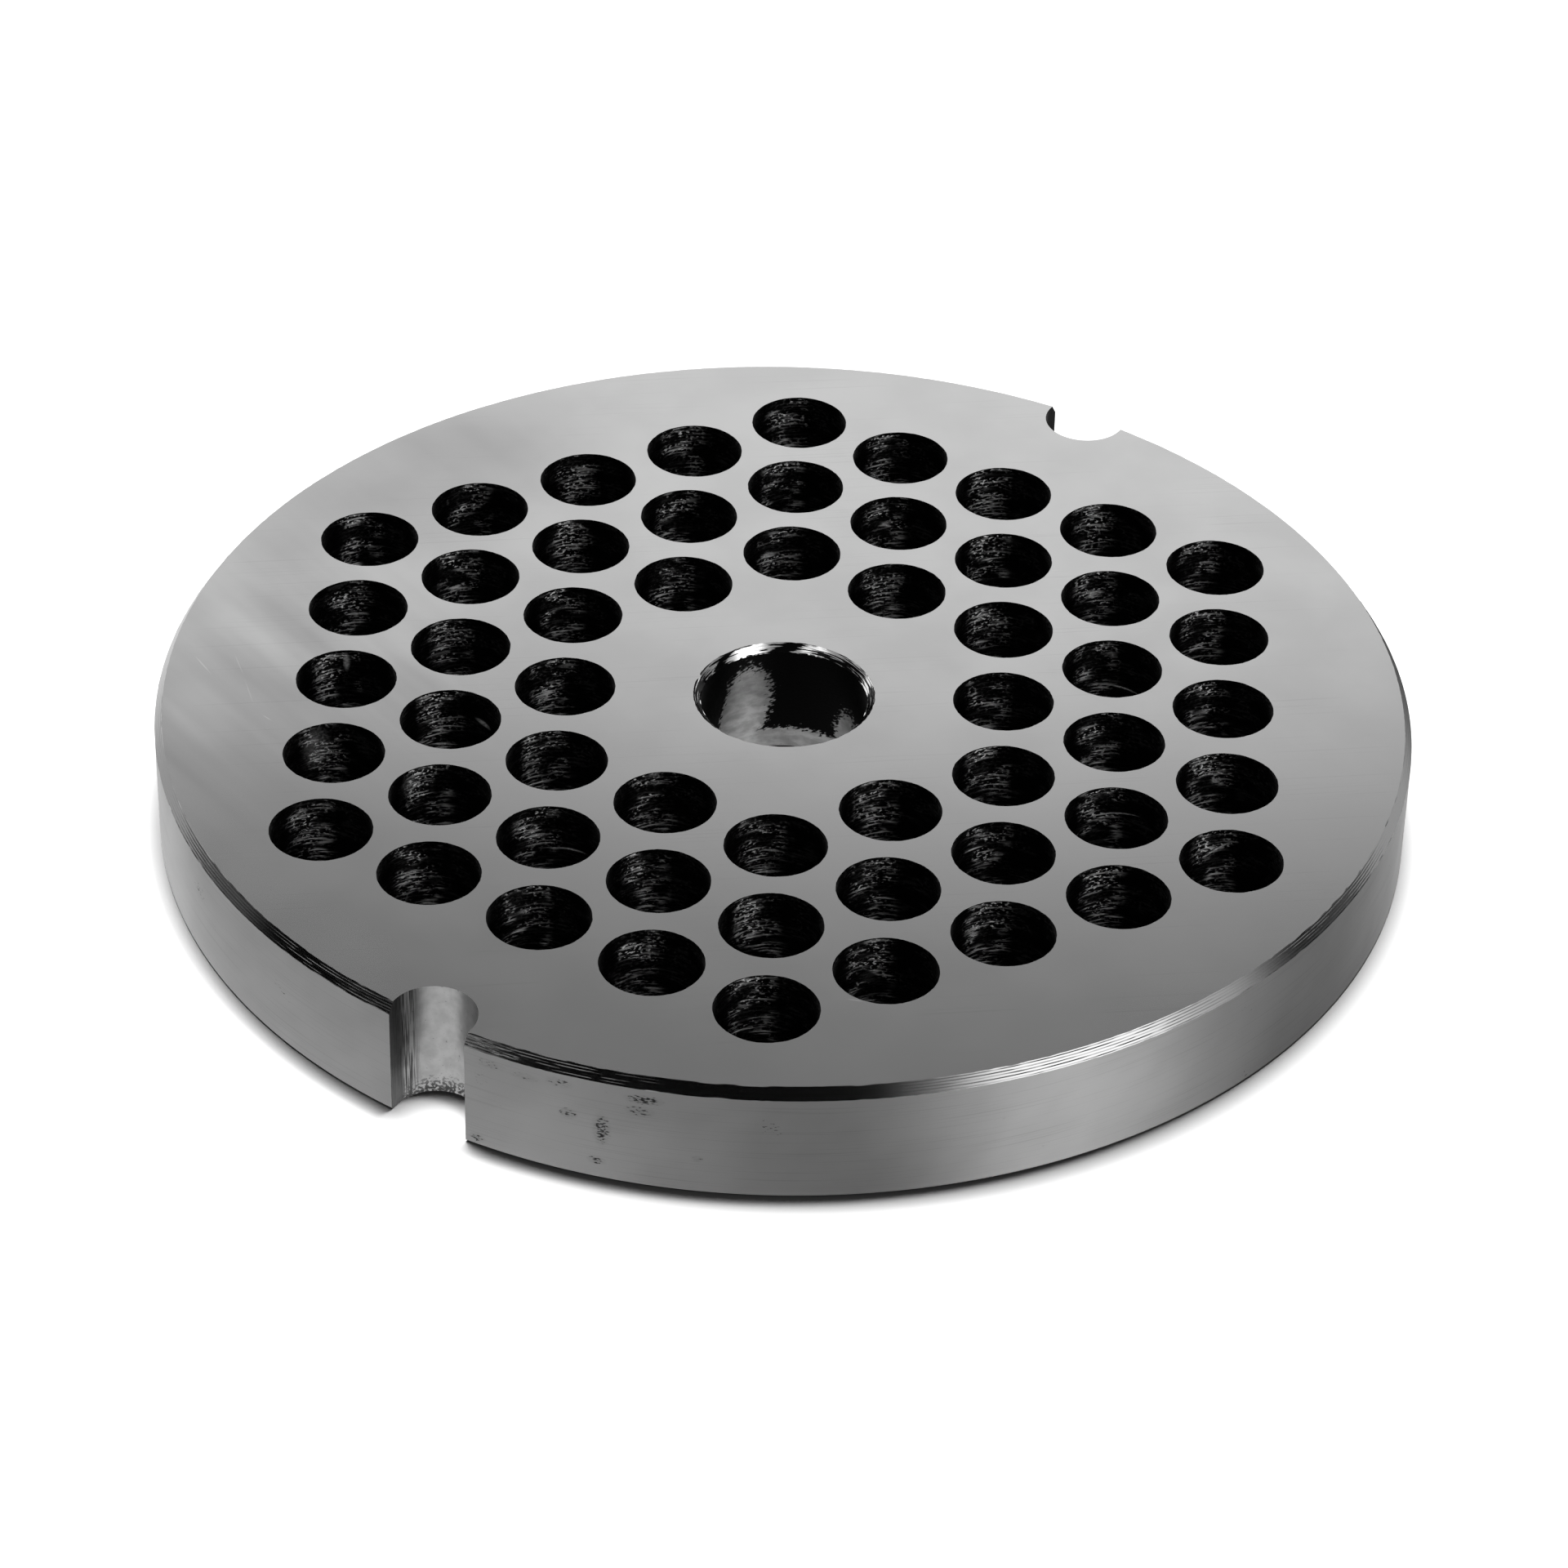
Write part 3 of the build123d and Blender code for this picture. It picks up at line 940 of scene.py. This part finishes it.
def studio_world():
    """A grey room with dark gaps and white cards. Only the steel mirrors it: the camera sees plain white."""
    world = bpy.data.worlds.new("studio")
    bpy.context.scene.world = world
    world.use_nodes = True
    # The steel's own rays find the cards; the floor isn't lit by them
    world.cycles.sampling_method = "NONE"
    tree = world.node_tree
    tree.nodes.clear()
    ray = add(tree, "ShaderNodeTexCoord").outputs["Generated"]
    # Turned back and forward again, so that the azimuth jumps where there is no card
    turned = add(tree, "ShaderNodeVectorRotate", {"rotation_type": "Z_AXIS"}, Vector=ray,
                 Angle=-math.radians(AZIMUTH_MIDDLE))
    parts = add(tree, "ShaderNodeSeparateXYZ", Vector=turned).outputs
    bearing = add(tree, "ShaderNodeMath", {"operation": "ARCTAN2"}, i0=parts["Y"], i1=parts["X"])
    azimuth = add(tree, "ShaderNodeMath", MULTIPLY_ADD, i0=bearing, i1=math.degrees(1), i2=AZIMUTH_MIDDLE)
    height = add(tree, "ShaderNodeMath", {"operation": "ARCSINE"}, i0=parts["Z"])
    elevation = add(tree, "ShaderNodeMath", {"operation": "DEGREES"}, i0=height)
    # The backdrop's top edge sags by almost a degree on both sides of its highest place
    sag = add(tree, "ShaderNodeMath", {"operation": "SUBTRACT"}, i0=azimuth, i1=SAG_MIDDLE)
    sag = add(tree, "ShaderNodeMath", {"operation": "ABSOLUTE"}, i0=sag)
    level = add(tree, "ShaderNodeMath", ADD, i0=elevation,
                i1=add(tree, "ShaderNodeMapRange", SMOOTH, Value=sag, From_Min=1.0, From_Max=9.0,
                       To_Min=0.0, To_Max=SAG_DEPTH))
    total = ROOM_DARK
    for name, (middle_azimuth, half_width, middle, half_height, soft, strength) in CARDS.items():
        across = window(tree, azimuth, middle_azimuth - half_width, middle_azimuth + half_width, soft)
        rise = level if name == "backdrop" else elevation
        up = window(tree, rise, middle - half_height, middle + half_height, soft)
        total = add(tree, "ShaderNodeMath", MULTIPLY_ADD,
                    i0=add(tree, "ShaderNodeMath", MULTIPLY, i0=across, i1=up), i1=strength, i2=total)
    rays = add(tree, "ShaderNodeLightPath").outputs
    mirrored = add(tree, "ShaderNodeMix", {"data_type": "FLOAT"}, i0=rays["Diffuse Depth"], i2=total,
                   i3=ROOM_DIFFUSE)
    cards = add(tree, "ShaderNodeBackground", Strength=mirrored)
    white = add(tree, "ShaderNodeBackground", Color=(1, 1, 1, 1), Strength=1.0)
    mixed = add(tree, "ShaderNodeMixShader", i0=rays["Is Camera Ray"], i1=cards, i2=white)
    add(tree, "ShaderNodeOutputWorld", Surface=mixed)


# Each lamp: azimuth and elevation in degrees, its angular radius, and the light it puts on the floor,
# where 1 makes a colour render as it is written
LAMPS = {
    "back lamp": (113, 82, 6.8, 0.54),
    "left lamp": (157, 74, 8.0, 0.29),
    "right lamp": (72, 82, 2.5, 0.17),
}
LAMP_DISTANCE = 4.0
FLOOR_RADIUS = 3.0
FLOOR_BRIGHT_SIDE = -130      # degrees: the azimuth towards which the open floor is brightest in the steel


def studio_lamps():
    """Round lamps that light the floor and cast the contact shadow. The steel shows the cards instead."""
    for name, (azimuth, elevation, radius, level) in LAMPS.items():
        turn, rise = math.radians(azimuth), math.radians(elevation)
        toward = Vector((math.cos(turn) * math.cos(rise), math.sin(turn) * math.cos(rise), math.sin(rise)))
        data = bpy.data.lights.new(name, "AREA")
        data.shape = "DISK"
        data.size = 2 * LAMP_DISTANCE * math.tan(math.radians(radius))
        data.energy = level * math.pi ** 2 * LAMP_DISTANCE ** 2 / toward.z
        lamp = bpy.data.objects.new(name, data)
        bpy.context.collection.objects.link(lamp)
        aimed = toward.to_track_quat("Z", "Y").to_matrix().to_4x4()
        lamp.matrix_world = Matrix.Translation(toward * LAMP_DISTANCE) @ aimed
        lamp.visible_glossy = False


def studio_floor(settings):
    """A pale matt floor with the plate's contact shadow. To the steel it glows with painted light: a painted
    shadow under and round the plate, a painted pool of light to its left and a painted glow in the bore.
    """
    bm = bmesh.new()
    bmesh.ops.create_circle(bm, cap_ends=True, radius=FLOOR_RADIUS, segments=64)
    floor = new_object("studio_floor", bm)
    material, tree = new_material("pale floor")
    plain = linear(settings.floor)
    rays = add(tree, "ShaderNodeLightPath").outputs
    place = add(tree, "ShaderNodeTexCoord").outputs["Object"]
    reach = add(tree, "ShaderNodeVectorMath", {"operation": "LENGTH"}, i0=place)
    # Painted light for the steel: the glow is dark under the plate, dim beside it at the front and right,
    # bright to its left, and strong inside the bore
    covered = add(tree, "ShaderNodeMapRange", SMOOTH, Value=reach, From_Min=43 * MM, From_Max=46 * MM,
                  To_Min=0.01, To_Max=1.0)
    painted_bore_glow = add(tree, "ShaderNodeMapRange", SMOOTH, Value=reach, From_Min=6 * MM, From_Max=7 * MM,
                  To_Min=1.7, To_Max=0.0)
    left = math.radians(FLOOR_BRIGHT_SIDE)
    bearing = add(tree, "ShaderNodeVectorMath", {"operation": "NORMALIZE"}, i0=place)
    leftness = add(tree, "ShaderNodeVectorMath", {"operation": "DOT_PRODUCT"}, i0=bearing,
                   i1=(math.cos(left), math.sin(left), 0.0))
    near = add(tree, "ShaderNodeMapRange", SMOOTH, Value=reach, From_Min=60 * MM, From_Max=90 * MM,
               To_Min=1.0, To_Max=0.0)
    near_light_and_shade = add(tree, "ShaderNodeMix", {"data_type": "FLOAT"}, i0=near, i2=1.0,
                 i3=add(tree, "ShaderNodeMapRange", SMOOTH, Value=leftness, From_Min=0.0, From_Max=0.95,
                        To_Min=0.20, To_Max=2.0))
    painted_floor_glow = add(tree, "ShaderNodeMath", MULTIPLY_ADD, i0=covered, i1=near_light_and_shade, i2=painted_bore_glow)
    gain = add(tree, "ShaderNodeMath", MULTIPLY_ADD, i0=rays["Is Camera Ray"], i1=settings.floor_gain - 1,
               i2=1.0)
    colour = add(tree, "ShaderNodeVectorMath", {"operation": "SCALE"}, i0=plain[:3], Scale=gain)
    lit = add(tree, "ShaderNodeBsdfDiffuse", Color=colour)
    # In the steel the floor glows by itself, and not for rays that have met a matt surface
    glow = add(tree, "ShaderNodeMath", MULTIPLY, i0=painted_floor_glow,
               i1=add(tree, "ShaderNodeMapRange", SMOOTH, Value=rays["Diffuse Depth"], From_Min=0.0,
                      From_Max=1.0, To_Min=0.55, To_Max=0.0))
    mirrored = add(tree, "ShaderNodeEmission", Color=plain, Strength=glow)
    shader = add(tree, "ShaderNodeMixShader", i0=rays["Is Glossy Ray"], i1=lit, i2=mirrored)
    add(tree, "ShaderNodeOutputMaterial", Surface=shader)
    floor.data.materials.append(material)


def studio_camera(settings):
    """The camera looks down at the cutting face past the front notch."""
    azimuth = settings.camera_azimuth
    elevation = settings.camera_elevation
    level = math.cos(elevation)
    back = Vector((math.sin(azimuth) * level, -math.cos(azimuth) * level, math.sin(elevation)))
    aim = Vector((settings.camera_aim_x, settings.camera_aim_y, PLATE_THICKNESS))
    data = bpy.data.cameras.new("camera")
    data.sensor_width = 36.0
    data.lens = settings.lens
    data.clip_start = 0.01
    camera = bpy.data.objects.new("camera", data)
    bpy.context.collection.objects.link(camera)
    turn = (-back).to_track_quat("-Z", "Y").to_matrix() @ Matrix.Rotation(settings.camera_roll, 3, "Z")
    camera.matrix_world = Matrix.Translation(aim + back * settings.camera_distance) @ turn.to_4x4()
    bpy.context.scene.camera = camera


# ---------------------------------------------------------------- operators

class GRINDER_OT_plate(bpy.types.Operator):
    """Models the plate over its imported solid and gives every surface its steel"""

    bl_idname = "grinder.plate"
    bl_label = "Plate"

    def execute(self, context):
        sizes = context.scene.plate_sizes
        plate = new_object("drilled_plate", turned_blank(sizes))
        cut_away(plate, new_object("cutters", all_cutters(sizes)))
        for material in plate_materials(context.scene.steel_colours):
            plate.data.materials.append(material)
        mark_surfaces(plate, sizes)
        fray_edges(plate, sizes)
        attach(plate, "root")
        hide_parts(NODE)
        return {"FINISHED"}


class GRINDER_OT_studio(bpy.types.Operator):
    """Sets up the floor, the light and the camera"""

    bl_idname = "grinder.studio"
    bl_label = "Studio"

    def execute(self, context):
        settings = context.scene.studio_settings
        studio_world()
        studio_lamps()
        studio_floor(settings)
        studio_camera(settings)
        context.scene.view_settings.view_transform = "Standard"
        return {"FINISHED"}


class GRINDER_PT_panel(bpy.types.Panel):
    """Lists the steps that build the plate and its studio"""

    bl_label = "Grinder plate"
    bl_idname = "GRINDER_PT_panel"
    bl_space_type = "VIEW_3D"
    bl_region_type = "UI"
    bl_category = "Grinder plate"

    def draw(self, context):
        for operator in OPERATORS:
            self.layout.operator(operator.bl_idname)


OPERATORS = (GRINDER_OT_plate, GRINDER_OT_studio)
GROUPS = {"plate_sizes": PlateSizes, "steel_colours": SteelColours, "studio_settings": StudioSettings}


def register():
    for item in (*GROUPS.values(), *OPERATORS, GRINDER_PT_panel):
        bpy.utils.register_class(item)
    for name, group in GROUPS.items():
        setattr(bpy.types.Scene, name, bpy.props.PointerProperty(type=group))


def unregister():
    for name in GROUPS:
        delattr(bpy.types.Scene, name)
    for item in (GRINDER_PT_panel, *OPERATORS, *GROUPS.values()):
        bpy.utils.unregister_class(item)


def main():
    register()
    bpy.ops.grinder.plate()
    bpy.ops.grinder.studio()


if __name__ == "__main__":
    main()
